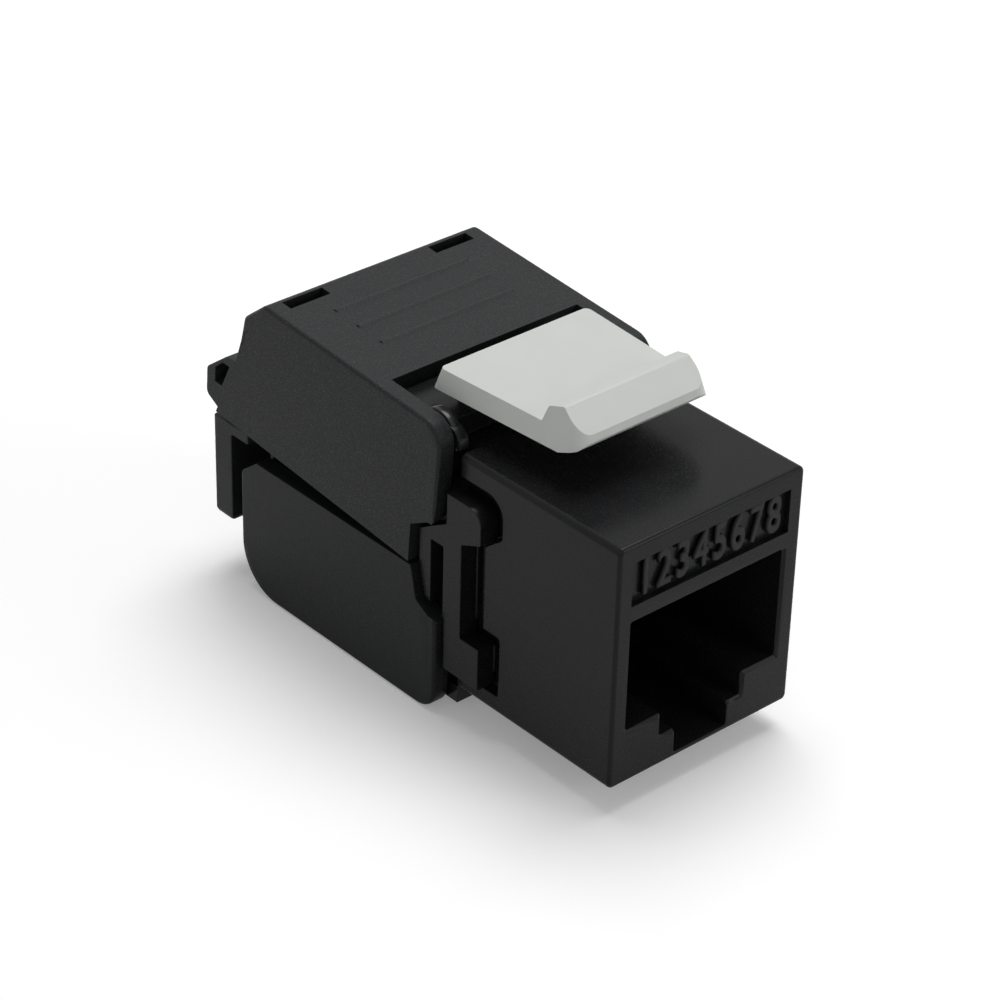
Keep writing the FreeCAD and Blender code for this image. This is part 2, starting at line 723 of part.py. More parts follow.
def top_cover():
    """The upper wing: a shell that hinges at its nose and presses four wires home."""
    piece = Piece("top_cover", hinge=("cover_hinge_reach", "cover_hinge_height"), pitch="cover_pitch")
    profile = [("cover_front", "cover_top"), ("cover_roof_back", "cover_top"),
               ("cover_shoulder_back", "cover_shoulder_height"), ("cover_waist_back", "cover_waist_height"),
               ("cover_tail_back", "cover_tail_height"), ("cover_step_back", "cover_foot"),
               ("cover_step_back", "cover_step_top"), ("cover_chin_front", "cover_chin_height"),
               ("cover_front", "cover_waist_height")]
    piece.pad(piece.outlines("YZ_Plane", [profile]), "wing_width", symmetric=True)
    piece.round("cover_nose", piece.along_x(("cover_front", "cover_top")))
    piece.round("wing_edge", piece.along_x(("cover_roof_back", "cover_top"),
                                           ("cover_shoulder_back", "cover_shoulder_height")))
    half = size("wing_width / 2")
    top, low, roof = size("cover_top"), size("cover_waist_height"), size("cover_roof_front")
    piece.round("wing_edge", piece.edges(
        lambda x, y, z: near(abs(x), half) and (near(z, top) or (z > low and y > roof))))

    wall = "wing_wall"
    hollow = [("cover_front - wing_wall", "cover_foot - wing_wall"),
              ("cover_front - wing_wall", "cover_top + wing_wall"),
              ("cover_roof_front", "cover_top + wing_wall"), ("cover_roof_front", f"cover_top - {wall}"),
              (f"cover_roof_back - {wall} / 2", f"cover_top - {wall}"),
              (f"cover_shoulder_back - {wall}", f"cover_shoulder_height - {wall} / 2"),
              (f"cover_waist_back - {wall}", f"cover_waist_height - {wall} / 4"),
              (f"cover_tail_back - {wall}", "cover_tail_height"),
              (f"cover_tail_back - {wall}", "cover_foot - wing_wall")]
    piece.pocket(piece.outlines("YZ_Plane", [hollow]), "wing_width - 2 * wing_wall", symmetric=True)

    slot = box("slot_inner", "slot_inner + slot_length", "cover_roof_back - slot_rim - slot_width",
               "cover_roof_back - slot_rim")
    slots = piece.pocket(piece.outlines("XY_Plane", [slot], "cover_top"), "2 * wing_wall")
    pivot = (("cover_hinge_reach", "cover_hinge_height"), "pin_radius + pin_gap")
    bearing = piece.pocket(piece.circles("YZ_Plane", [pivot], "wing_inside - pin_gap"),
                           "pin_length", backward=True)
    loop_sketch = piece.outlines("YZ_Plane", [loop_outline()], "wing_width / 2 - loop_width")
    loop = piece.pad(loop_sketch, "loop_width")
    hole = [("eye_front", "eye_top"), ("eye_back - eye_slant", "eye_top"),
            ("eye_back", "eye_top - eye_slant"), ("eye_back", "eye_foot"),
            ("eye_front + eye_slant", "eye_foot")]
    eye = piece.pocket(piece.outlines("YZ_Plane", [hole], "wing_width / 2"), "loop_width")
    piece.mirror([slots, bearing, loop, eye])

    cable_line = ("0", f"cable_height - {pitch_drop()}")
    mouth = piece.circles("XZ_Plane", [(cable_line, "cable_bore / 2 + seam_gap")],
                          "cover_tail_back + loop_reach")
    piece.pocket(mouth, "2 * loop_reach + 2 * wing_wall", backward=True)
    piece.round("loop_round", piece.along_x(*loop_outline()[1:4]))

    grips = [centred("grip_length", f"grip_first + {step} * grip_pitch",
                     f"grip_first + {step} * grip_pitch + grip_width") for step in range(3)]
    piece.pad(piece.outlines("XY_Plane", grips, "cover_top"), "grip_height")
    presser = box(f"{wire_place(1)} - presser_width / 2", f"{wire_place(1)} + presser_width / 2",
                  "block_front", "block_back")
    ribs = piece.pad(piece.outlines("XY_Plane", [presser], f"cover_top - {wall}"), "presser_depth",
                     backward=True)
    piece.row([ribs], BLOCK_WIRES, "wire_pitch")


def pitch_drop():
    """How much the wing's pitch lifts its tail above the level drawing."""
    return "(cover_tail_back - cover_hinge_reach) * sin(cover_pitch)"


def loop_outline():
    """The cable-tie loop behind the upper wing's sloping back."""
    reach = "loop_reach"
    return [("cover_waist_back - wing_wall / 2", "cover_waist_height"),
            ("cover_waist_back + loop_reach", "cover_waist_height - loop_reach / 4"),
            (f"cover_tail_back + {reach}", "(cover_waist_height + cover_tail_height) / 2 + loop_reach / 2"),
            (f"cover_tail_back + {reach}", "cover_tail_height + loop_reach"),
            ("cover_tail_back - wing_wall / 2", "cover_tail_height + loop_reach / 4")]


def wire_cap():
    """The lower wing: an open tray that hinges at its nose."""
    piece = Piece("wire_cap", hinge=("cap_hinge_reach", "cap_hinge_height"))
    profile = [("cap_step_back", "cap_top"), ("cap_back - cap_bevel", "cap_top"),
               ("cap_back", "cap_top - cap_bevel"), ("cap_back", "cap_bottom"), ("cap_front", "cap_bottom"),
               ("cap_front", "cap_chin_height"), ("cap_chin_back", "cap_step_height")]
    piece.pad(piece.outlines("YZ_Plane", [profile]), "wing_width", symmetric=True)
    piece.round("cap_heel", piece.along_x(("cap_back", "cap_bottom")))
    piece.round("cap_nose", piece.along_x(("cap_front", "cap_bottom")))
    half, low = size("wing_width / 2"), size("cap_bottom")
    piece.round("wing_edge", piece.edges(lambda x, y, z: near(abs(x), half) and near(z, low)))

    wall = "wing_wall"
    hollow = [("cap_front - wing_wall", "cap_top + wing_wall"),
              ("cap_front - wing_wall", "cap_bottom - wing_wall"),
              ("cap_floor_front", "cap_bottom - wing_wall"), ("cap_floor_front", f"cap_bottom + {wall}"),
              ("cap_back - cap_heel", f"cap_bottom + {wall}"),
              (f"cap_back - {wall}", "cap_bottom + cap_heel"),
              (f"cap_back - {wall}", "cap_top + wing_wall")]
    piece.pocket(piece.outlines("YZ_Plane", [hollow]), "wing_width - 2 * wing_wall", symmetric=True)
    pivot = (("cap_hinge_reach", "cap_hinge_height"), "pin_radius + pin_gap")
    bearing = piece.pocket(piece.circles("YZ_Plane", [pivot], "wing_inside - pin_gap"),
                           "pin_length", backward=True)
    piece.mirror([bearing])
    mouth = piece.circles("XZ_Plane", [(("0", "cable_height"), "cable_bore / 2 + seam_gap")],
                          "cap_back + wing_wall")
    piece.pocket(mouth, "3 * wing_wall", backward=True)


def contact_sled():
    """The comb that carries the contacts, with the port's back wall."""
    piece = Piece("contact_sled")
    width = "port_width - 2 * sled_gap"
    comb = centred(width, "port_top", "sled_top")
    piece.pad(piece.outlines("XZ_Plane", [comb], "sled_front"), "housing_depth - sled_front",
              backward=True)
    back = port_outline("sled_gap", "port_top")
    piece.pad(piece.outlines("XZ_Plane", [back], "housing_depth - sled_back_wall"), "sled_back_wall",
              backward=True)
    place = contact_place(1)
    slot = box(f"{place} - sled_slot_width / 2", f"{place} + sled_slot_width / 2",
               "port_top", "sled_slot_top")
    cut = piece.pocket(piece.outlines("XZ_Plane", [slot], "sled_slot_front"),
                       "housing_depth - sled_slot_front")
    piece.row([cut], CONTACTS, "contact_pitch")


def tail_reach(number):
    """Odd and even contacts stand in two rows on the board."""
    return f"contact_tail_reach + {number % 2} * contact_tail_step"


def spring_contact(number):
    """One spring wire: up from the board, forward along the comb, round and back into the port."""
    piece = Piece(f"contact_{number}")
    tail, leg, bend = tail_reach(number), "contact_leg_height", "contact_bend"
    half_x, half_y = "contact_width / 2", "contact_thickness / 2"
    section = [(f"{contact_place(number)} {side_x} {half_x}", f"{tail} {side_y} {half_y}")
               for side_x, side_y in (("-", "-"), ("+", "-"), ("+", "+"), ("-", "+"))]
    profile = piece.outlines("XY_Plane", [section], "board_foot")

    path = piece.sketch("YZ_Plane", contact_place(number))
    corner = "contact_tail_bend"
    centre = (f"{tail} - {corner}", f"{leg} - {corner}")
    turn = ("contact_bend_reach", f"{leg} - {bend}")
    foot = Vector(size(tail), size("board_foot"), 0)
    rise = Vector(size(tail), size(f"{leg} - {corner}"), 0)
    start = Vector(size(f"{tail} - {corner}"), size(leg), 0)
    finish = Vector(size(turn[0]), size(leg), 0)
    slope = "contact_slope"
    leave = Vector(size(f"{turn[0]} - {bend} * sin({slope})"),
                   size(f"{turn[1]} - {bend} * cos({slope})"), 0)
    tip = Vector(size("contact_tip_reach"), size(tip_height()), 0)
    bend_out = Vector(size(f"{turn[0]} - {bend}"), size(turn[1]), 0)
    corner_out = Vector(size(f"{centre[0]} + {corner} * cos(45)"),
                        size(f"{centre[1]} + {corner} * sin(45)"), 0)
    shapes = [Part.LineSegment(foot, rise), Part.Arc(rise, corner_out, start),
              Part.LineSegment(start, finish), Part.Arc(finish, bend_out, leave),
              Part.LineSegment(leave, tip)]
    for shape in shapes:
        path.addGeometry(shape, False)
    tie_path(piece, path, (tail, "board_foot"), centre, turn, slope)

    pipe = piece.body.newObject("PartDesign::AdditivePipe", f"{piece.name}_pipe")
    pipe.Profile = profile
    pipe.Spine = (path, [f"Edge{each}" for each in range(1, len(shapes) + 1)])
    DOC.recompute()


def tip_height():
    """Height of a contact's free end, on the slope that leaves the bend."""
    leave_reach = "contact_bend_reach - contact_bend * sin(contact_slope)"
    leave_height = "contact_leg_height - contact_bend - contact_bend * cos(contact_slope)"
    return f"{leave_height} - (contact_tip_reach - ({leave_reach})) * tan(contact_slope)"


def tie_path(piece, path, foot, centre, turn, slope):
    """Tie the contact's centre line to the sheet: both bends, both straights and the sloping end."""
    role = "YZ_Plane"
    upright, corner, leg, bend, blade = range(5)
    piece.pin_point(path, upright, 1, foot, role)
    piece.pin_point(path, upright, 2, (foot[0], centre[1]), role)
    piece.pin_point(path, corner, 3, centre, role)
    arc = path.Geometry[corner]
    corner_ends = (1, 2) if arc.StartPoint.y < arc.EndPoint.y else (2, 1)
    path.addConstraint(Sketcher.Constraint("Coincident", upright, 2, corner, corner_ends[0]))
    path.addConstraint(Sketcher.Constraint("Coincident", corner, corner_ends[1], leg, 1))
    piece.pin_point(path, leg, 1, (centre[0], None), role)
    piece.pin_point(path, leg, 2, (turn[0], "contact_leg_height"), role)
    arc = path.Geometry[bend]
    bend_ends = (1, 2) if arc.StartPoint.y > arc.EndPoint.y else (2, 1)
    path.addConstraint(Sketcher.Constraint("Coincident", leg, 2, bend, bend_ends[0]))
    path.addConstraint(Sketcher.Constraint("Coincident", bend, bend_ends[1], blade, 1))
    piece.pin_point(path, bend, 3, turn, role)
    piece.pin_point(path, blade, 1, (f"{turn[0]} - contact_bend * sin({slope})", None), role)
    piece.pin_point(path, blade, 2, ("contact_tip_reach", tip_height()), role)


def circuit_board():
    """The board between contacts and wire blocks."""
    piece = Piece("circuit_board")
    plate = centred("board_width", "board_front", "board_back")
    piece.pad(piece.outlines("XY_Plane", [plate], "board_foot"), "board_thickness")
    holes = [((contact_place(number), tail_reach(number)), "board_hole")
             for number in range(1, CONTACTS + 1)]
    piece.pocket(piece.circles("XY_Plane", holes, "board_top"), "board_thickness")


def blade_reach(number):
    """Neighbouring blades are staggered along the wires."""
    return "blade_near" if number % 2 else "blade_far"


def idc_block(name, seat, sign):
    """A block of four wire grooves crossed by blade slots, standing on `seat` or hanging from it."""
    piece = Piece(name)
    crown = f"{seat} {sign} block_height"
    low, high = (seat, crown) if sign == "+" else (crown, seat)
    piece.pad(piece.outlines("XZ_Plane", [centred("block_width", low, high)], "block_front"),
              "block_back - block_front", backward=True)
    groove_end = f"{crown} {'-' if sign == '+' else '+'} wire_groove_depth"
    low, high = (groove_end, crown) if sign == "+" else (crown, groove_end)
    groove = box(f"{wire_place(1)} - wire_groove / 2", f"{wire_place(1)} + wire_groove / 2", low, high)
    cut = piece.pocket(piece.outlines("XZ_Plane", [groove], "block_front"), "block_back - block_front")
    piece.row([cut], BLOCK_WIRES, "wire_pitch")
    slots = []
    for number in range(1, BLOCK_WIRES + 1):
        reach = blade_reach(number)
        across, along = "blade_width / 2 + blade_gap", "blade_thickness / 2 + blade_gap"
        slots.append(box(f"{wire_place(number)} - ({across})", f"{wire_place(number)} + {across}",
                         f"{reach} - ({along})", f"{reach} + {along}"))
    piece.pocket(piece.outlines("XY_Plane", slots, crown), "block_height", backward=(sign == "-"))


def idc_terminal(name, number, seat, sign):
    """A slotted blade that cuts through one wire's insulation."""
    piece = Piece(name)
    middle = wire_place(number)
    steps = [("blade_width / 2", "0"), ("blade_width / 2", "blade_height"),
             ("blade_mouth / 2", "blade_height"), ("blade_slot / 2", "(blade_height - blade_mouth_depth)"),
             ("blade_slot / 2", "(blade_height - blade_slot_depth)")]
    right = [(f"{middle} + {across}", f"{seat} {sign} {up}") for across, up in steps]
    left = [(f"{middle} - {across}", f"{seat} {sign} {up}") for across, up in reversed(steps)]
    blade = piece.outlines("XZ_Plane", [right + left], blade_reach(number))
    piece.pad(blade, "blade_thickness", symmetric=True)


def build():
    """Make the sheet and every sub-part."""
    fill_sheet()
    front_housing()
    panel_latch()
    rear_body()
    cable_bracket()
    top_cover()
    wire_cap()
    contact_sled()
    circuit_board()
    for number in range(1, CONTACTS + 1):
        spring_contact(number)
    for place, seat, sign in (("upper", "board_top", "+"), ("lower", "board_foot", "-")):
        idc_block(f"idc_block_{place}", seat, sign)
        for number in range(1, BLOCK_WIRES + 1):
            idc_terminal(f"idc_terminal_{place}_{number}", number, seat, sign)


def check():
    """Stop unless every object solved and every sub-part is one valid solid."""
    DOC.recompute()
    for each in DOC.Objects:
        if "Invalid" in each.State or "Error" in each.State:
            raise RuntimeError(f"{each.Name} failed: {each.State}")
    for piece in PIECES:
        shape = piece.body.Shape
        if shape.isNull() or not shape.isValid() or len(shape.Solids) != 1:
            raise RuntimeError(f"{piece.name} is not one valid solid")


def write():
    """One STEP file for each sub-part."""
    os.makedirs("parts", exist_ok=True)
    for piece in PIECES:
        piece.body.Shape.exportStep(f"parts/{piece.body.Label}.step")


build()
check()
write()
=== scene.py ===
"""Finishes for a tool-less keystone jack: rounded moulded shells, gold contacts, board and label."""

import json
import math

import bmesh
import bpy
from bpy.props import FloatProperty, FloatVectorProperty, PointerProperty
from mathutils import Matrix, Vector


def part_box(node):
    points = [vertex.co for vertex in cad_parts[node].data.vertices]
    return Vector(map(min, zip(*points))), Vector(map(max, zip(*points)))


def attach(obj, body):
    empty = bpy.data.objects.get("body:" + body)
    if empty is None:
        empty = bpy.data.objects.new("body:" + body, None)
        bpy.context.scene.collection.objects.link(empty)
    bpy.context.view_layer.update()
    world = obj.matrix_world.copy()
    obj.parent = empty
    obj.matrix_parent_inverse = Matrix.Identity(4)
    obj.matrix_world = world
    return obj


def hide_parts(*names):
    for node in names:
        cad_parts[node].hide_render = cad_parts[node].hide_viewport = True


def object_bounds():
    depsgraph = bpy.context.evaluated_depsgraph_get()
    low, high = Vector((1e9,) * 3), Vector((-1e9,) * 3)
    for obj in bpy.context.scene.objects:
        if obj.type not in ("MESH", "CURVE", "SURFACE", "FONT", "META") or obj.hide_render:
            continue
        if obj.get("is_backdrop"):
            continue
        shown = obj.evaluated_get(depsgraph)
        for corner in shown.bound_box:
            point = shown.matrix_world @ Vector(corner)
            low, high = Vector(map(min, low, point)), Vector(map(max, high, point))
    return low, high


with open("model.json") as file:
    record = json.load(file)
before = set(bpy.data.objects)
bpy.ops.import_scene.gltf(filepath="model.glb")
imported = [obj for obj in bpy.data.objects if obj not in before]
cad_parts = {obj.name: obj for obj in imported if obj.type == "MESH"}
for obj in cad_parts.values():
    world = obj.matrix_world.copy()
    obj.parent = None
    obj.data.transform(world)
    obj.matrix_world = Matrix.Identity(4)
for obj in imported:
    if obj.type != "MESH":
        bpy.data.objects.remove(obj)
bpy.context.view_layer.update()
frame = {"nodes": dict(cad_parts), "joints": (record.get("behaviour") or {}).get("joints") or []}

bl_info = {
    "name": "Keystone jack finishes",
    "version": (1, 0, 0),
    "blender": (4, 5, 0),
    "location": "3D View > Sidebar > Jack",
    "description": "Dresses the moulded shells, contacts, board and label of a keystone jack",
    "category": "Object",
}


# ---------------------------------------------------------------- fixed numbers

MM = 0.001

# Meshes: points that are one, the angles between faces that count as flat, sharp or rolled over, and
# the least part of a face's normal that counts as looking up or forward
WELD = 1e-6
FLAT_ANGLE = math.radians(0.8)
SHARP_ANGLE = math.radians(38)
ROLLED_ANGLE = math.radians(32)
ROLLED_FRONT_ANGLE = math.radians(50)
QUARTER_TURN = math.radians(90)
LOOKS_UP = 0.9
LOOKS_FORWARD = 0.99

# Wings: the solids' fillet along each side, how far across the jack its faces look, and the grip ridges
WING_EDGE = 0.6 * MM
WING_EDGE_SLOPES = (0.03, 0.995)
RIDGE_RISE = 0.03 * MM
RIDGE_PITCH = 0.8 * MM
RIDGE_CREST = 0.2

# Label field: where its floor is looked for (behind the front, and above a share of the roof's height),
# the slack around its edges, and its numbers
LABEL_DEPTHS = (0.1 * MM, 1.0 * MM)
LABEL_FOOT = 1 / 3
LABEL_BORDER = 0.8 * MM
EDGE_SLACK = 0.02 * MM
DIGITS = "12345678"
DIGIT_FONT = 1.35
DIGIT_SPACING = 1.28
DIGIT_SPAN = 10.9 * MM
STROKE_SIDES = 8

# Hinge knuckles and the lip under the body's front edge
KNUCKLE_SIDES = 64
KNUCKLE_RIM = 0.2
LIP_GAP = 0.05 * MM
LIP_RISE = 0.15 * MM
LIP_LENGTH = 1.1 * MM
LIP_HEIGHT = 1.2 * MM

# Moulded plastics: width of the texture in grains, roughness, depth of its pits, gloss, pale specks
PLASTICS = {
    "housing_plastic": dict(width=0.7, roughness=0.23, depth=0.004 * MM, gloss=0.108, speckle=0.15),
    "body_plastic": dict(width=0.7, roughness=0.24, depth=0.004 * MM, gloss=0.108, speckle=0.15),
    "bracket_plastic": dict(width=1.0, roughness=0.45, depth=0.020 * MM, gloss=0.138, speckle=0.4),
    "hinge_plastic": dict(width=1.0, roughness=0.16, depth=0.003 * MM, gloss=0.300, speckle=0.0),
    "cover_plastic": dict(width=1.0, roughness=0.46, depth=0.018 * MM, gloss=0.138, speckle=1.0),
    "cap_plastic": dict(width=0.8, roughness=0.36, depth=0.010 * MM, gloss=0.094, speckle=1.0),
    "comb_plastic": dict(width=0.6, roughness=0.42, depth=0.006 * MM, gloss=0.138, speckle=0.4),
    "block_plastic": dict(width=0.6, roughness=0.45, depth=0.008 * MM, gloss=0.138, speckle=0.4),
    "label_plastic": dict(width=0.6, roughness=0.34, depth=0.006 * MM, gloss=0.138, speckle=0.4),
}
WEAVE_PITCH = 3.1 * MM

# Stage: light levels, the floor, the lamps (place, width in metres, power in watts) and the camera
SKY_LEVEL = 0.22
FLOOR_GLOW = 0.22
FLOOR_HALF = 3.0
FLOOR_PAPER = (0.9, 0.9, 0.9)
LAMP_AIM = Vector((0.0, 0.016, 0.002))
LAMPS = {
    "lamp_top": dict(place=(0.10, 0.08, 0.44), width=0.30, power=1.55),
    "lamp_left": dict(place=(-0.42, 0.02, 0.16), width=0.30, power=0.08),
    "lamp_front": dict(place=(0.22, -0.40, 0.16), width=0.26, power=0.55),
}
CAMERA_AZIMUTH = math.radians(-42.15)
CAMERA_ELEVATION = math.radians(31.86)
CAMERA_ROLL = math.radians(1.58)
CAMERA_DISTANCE = 173.82 * MM
CAMERA_TARGET = Vector((-16.26 * MM, 0.0, 15.90 * MM))
CAMERA_LENS = 120.1
CAMERA_SENSOR = 36.0
CAMERA_NEAR = 0.01


# ---------------------------------------------------------------- properties

def length(name, description, default, largest):
    """A property that holds a length, in metres."""
    return FloatProperty(name=name, description=description, default=default, min=0.0, max=largest,
                         precision=5, subtype="DISTANCE", unit="LENGTH")


def colour(name, description, default):
    """A property that holds a colour."""
    return FloatVectorProperty(name=name, description=description, default=default, size=3,
                               min=0.0, max=1.0, subtype="COLOR")


class JackSizes(bpy.types.PropertyGroup):
    """Sizes of the details that the shells and the board carry."""
    edge_round: length("Edge round", "Radius of the shells' moulded edges", 0.16 * MM, 1 * MM)
    wing_round: length("Wing round", "Radius along the sides of the wings", 0.25 * MM, 0.6 * MM)
    latch_round: length("Latch round", "Radius of the panel latch's edges", 0.22 * MM, 1 * MM)
    knuckle_middle: length("Knuckle place", "From the middle plane to a knuckle", 6.775 * MM, 9 * MM)
    knuckle_width: length("Knuckle width", "Width of a hinge knuckle", 0.66 * MM, 2 * MM)
    knuckle_radius: length("Knuckle radius", "Radius of a hinge knuckle", 1.75 * MM, 3 * MM)
    fine_round: length("Fine round", "Radius of the edges of the body's lip", 0.06 * MM, 1 * MM)
    grain: length("Grain", "Width of one pit of the spark-eroded texture", 0.11 * MM, 1 * MM)
    digit_height: length("Digit height", "Height of the numbers in the label field", 2.5 * MM, 5 * MM)
    digit_rise: length("Digit rise", "How far the numbers stand out of the label field", 0.32 * MM, 1 * MM)
    digit_stroke: length("Digit stroke", "Radius of the rounded stroke along each number", 0.15 * MM, 1 * MM)


class JackColours(bpy.types.PropertyGroup):
    """Colours of the plastics and metals."""
    cover_black: colour("Wings", "Black of the two wings", (0.0108, 0.0114, 0.0122))
    housing_black: colour("Front", "Black of the front housing", (0.0088, 0.0091, 0.0098))
    body_black: colour("Body", "Black of the rear body", (0.0088, 0.0092, 0.0098))
    latch_grey: colour("Latch", "Light grey of the panel latch", (0.575, 0.595, 0.57))
    block_white: colour("Wire blocks", "Natural plastic of the wire blocks", (0.62, 0.62, 0.58))
    mask_green: colour("Board", "Solder mask of the circuit board", (0.012, 0.12, 0.045))
    gold: colour("Gold", "Gold plate of the contacts", (0.90, 0.62, 0.22))
    tin: colour("Tin", "Tin plate of the wire blades", (0.62, 0.62, 0.60))


def values(context):
    """The scene's sizes and colours."""
    return context.scene.jack_sizes, context.scene.jack_colours


# ---------------------------------------------------------------- nodes

class Wire:
    """A node's output that adds Math nodes when it is used in an expression."""

    def __init__(self, nodes, socket):
        self.nodes = nodes
        self.socket = socket

    def math(self, operation, first, second):
        return self.nodes.node("ShaderNodeMath", {"operation": operation}, first, second)

    def __add__(self, other):
        return self.math("ADD", self, other)

    def __radd__(self, other):
        return self.math("ADD", other, self)

    def __sub__(self, other):
        return self.math("SUBTRACT", self, other)

    def __rsub__(self, other):
        return self.math("SUBTRACT", other, self)

    def __mul__(self, other):
        return self.math("MULTIPLY", self, other)

    def __rmul__(self, other):
        return self.math("MULTIPLY", other, self)

    def clamp(self):
        """The value, held between 0 and 1."""
        return self.nodes.node("ShaderNodeClamp", {}, self)


class Nodes:
    """A node tree under construction, with one method for every kind of node."""

    def __init__(self, tree):
        self.tree = tree

    def feed(self, socket, value):
        """Link a wire to a socket, or set the socket to a plain value."""
        if isinstance(value, Wire):
            self.tree.links.new(value.socket, socket)
        else:
            socket.default_value = value

    def node(self, kind, settings, *inputs, output=0, at=None, **named):
        """Add a node, set it up, feed its inputs by place or name, and return one of its outputs."""
        made = self.tree.nodes.new(kind)
        for key, value in settings.items():
            setattr(made, key, value)
        for place, value in [*enumerate(inputs), *(at or {}).items()]:
            self.feed(made.inputs[place], value)
        for key, value in named.items():
            self.feed(made.inputs[key.replace("_", " ")], value)
        return Wire(self, made.outputs[output])

    def seen(self):
        """1 on rays from the camera and on those that gloss or glass sends on, and 0 on diffuse ones."""
        camera, gloss, glass = (self.node("ShaderNodeLightPath", {}, output=f"Is {kind} Ray")
                                for kind in ("Camera", "Glossy", "Transmission"))
        return (camera + gloss + glass).clamp()


class Finish(Nodes):
    """A material under construction."""

    def __init__(self, name, colour_value, roughness, metallic=0.0, coat=0.0, specular=0.5):
        self.material = bpy.data.materials.new(name)
        self.material.use_nodes = True
        super().__init__(self.material.node_tree)
        self.shader = self.tree.nodes["Principled BSDF"]
        self.material.diffuse_color = tuple(colour_value) + (1.0,)
        self.set("Base Color", self.material.diffuse_color)
        self.set("Roughness", roughness)
        self.set("Metallic", metallic)
        self.set("Coat Weight", coat)
        self.set("Specular IOR Level", specular)

    def set(self, name, value):
        """Feed one of the shader's own sockets."""
        self.feed(self.shader.inputs[name], value)

    def place(self):
        """Object coordinates, in metres."""
        return self.node("ShaderNodeTexCoord", {}, output="Object")

    def noise(self, width, detail=2.0, rough=0.5, where=None):
        """A noise whose blobs are about `width` metres wide."""
        return self.node("ShaderNodeTexNoise", {}, Vector=where or self.place(), Scale=1.0 / width,
                         Detail=detail, Roughness=rough, output="Fac")

    def pits(self, width):
        """Rounded cells about `width` metres wide."""
        return self.node("ShaderNodeTexVoronoi", {"feature": "SMOOTH_F1"}, Vector=self.place(),
                         Scale=1.0 / width, Smoothness=0.6, output="Distance")

    def mix(self, amount, first, second):
        """A colour between two colours."""
        return self.node("ShaderNodeMix", {"data_type": "RGBA"}, amount, at={6: first, 7: second}, output=2)

    def bump(self, height, distance, strength):
        """Raise the surface by a height between 0 and 1 times a distance in metres."""
        self.set("Normal", self.node("ShaderNodeBump", {}, Strength=strength, Distance=distance,
                                     Height=height, output="Normal"))


class Recipe(Nodes):
    """A Geometry Nodes tree under construction, with number inputs for its sizes."""

    def __init__(self, name, sizes):
        super().__init__(bpy.data.node_groups.new(name, "GeometryNodeTree"))
        face = self.tree.interface
        self.sockets = {label: face.new_socket(label, in_out="INPUT", socket_type="NodeSocketFloat")
                        for label in sizes}
        face.new_socket("Geometry", in_out="OUTPUT", socket_type="NodeSocketGeometry")
        self.input = self.tree.nodes.new("NodeGroupInput")
        self.output = self.tree.nodes.new("NodeGroupOutput")

    def given(self, label):
        """One of the tree's own inputs."""
        return Wire(self, self.input.outputs[label])

    def join(self, *parts):
        """One geometry made of several."""
        whole = self.node("GeometryNodeJoinGeometry", {})
        for part in parts:
            self.feed(whole.socket.node.inputs[0], part)
        return whole

    def end(self, geometry, material):
        """Turn instances into a mesh, give it its material and send it out."""
        real = self.node("GeometryNodeRealizeInstances", {}, Geometry=geometry)
        self.feed(self.output.inputs[0],
                  self.node("GeometryNodeSetMaterial", {}, Geometry=real, Material=material))

    def grow(self, name, **amounts):
        """Run the tree once and keep its result as a plain mesh."""
        obj = link(bpy.data.objects.new(name + "_raw", bpy.data.meshes.new(name + "_raw")))
        modifier = obj.modifiers.new("recipe", "NODES")
        modifier.node_group = self.tree
        for label, amount in amounts.items():
            modifier[self.sockets[label].identifier] = amount
        return settled(obj, name)


# ---------------------------------------------------------------- materials

def shade(colour_value, factor):
    """A colour made darker or lighter, with its alpha."""
    return tuple(min(1.0, channel * factor) for channel in colour_value) + (1.0,)


def spots(field, level, sharpness):
    """0 where a field is below a level, and soon 1 above it."""
    return ((field - level) * sharpness).clamp()


def moulded_plastic(name, colour_value, grain):
    """Moulded plastic: spark-eroded pits, a faint flow mottle, fine specks and scuffs."""
    make = PLASTICS[name]
    width, roughness = grain * make["width"], make["roughness"]
    finish = Finish(name, colour_value, roughness, specular=make["gloss"])
    pits = finish.pits(width)
    fine = finish.noise(width * 0.5, detail=1.0)
    flow = finish.noise(width * 28, detail=3.0, rough=0.6)
    scuffs = finish.noise(width * 9, detail=5.0, rough=0.75)
    dark, light, rubbed, pale = (shade(colour_value, factor) for factor in (0.78, 1.28, 1.7, 5.0))
    base = finish.mix((flow * 0.7 + fine * 0.3).clamp(), dark, light)
    worn = finish.mix(spots(scuffs, 0.56, 6.0) * 0.35, base, rubbed)
    finish.set("Base Color", finish.mix(spots(fine, 0.60, 9.0) * make["speckle"], worn, pale))
    finish.set("Roughness", (roughness + (pits - 0.4) * 0.16 + (flow - 0.5) * 0.12).clamp())
    finish.bump(pits * 0.6 + fine * 0.4, make["depth"], 0.55)
    return finish.material


def latch_plastic(name, colour_value, grain):
    """Satin light grey plastic with soft flow lines and a little handling grime."""
    finish = Finish(name, colour_value, 0.4)
    fine = finish.noise(grain * 0.8, detail=2.0)
    flow = finish.noise(grain * 22, detail=2.0)
    specks = finish.noise(grain * 4, detail=4.0, rough=0.8)
    dark, light, grimy = (shade(colour_value, factor) for factor in (0.95, 1.04, 0.72))
    base = finish.mix((flow * 0.8 + fine * 0.2).clamp(), dark, light)
    finish.set("Base Color", finish.mix(spots(specks, 0.64, 9.0) * 0.25, base, grimy))
    finish.set("Roughness", (0.38 + flow * 0.12).clamp())
    finish.bump(fine, 0.006 * MM, 0.5)
    return finish.material


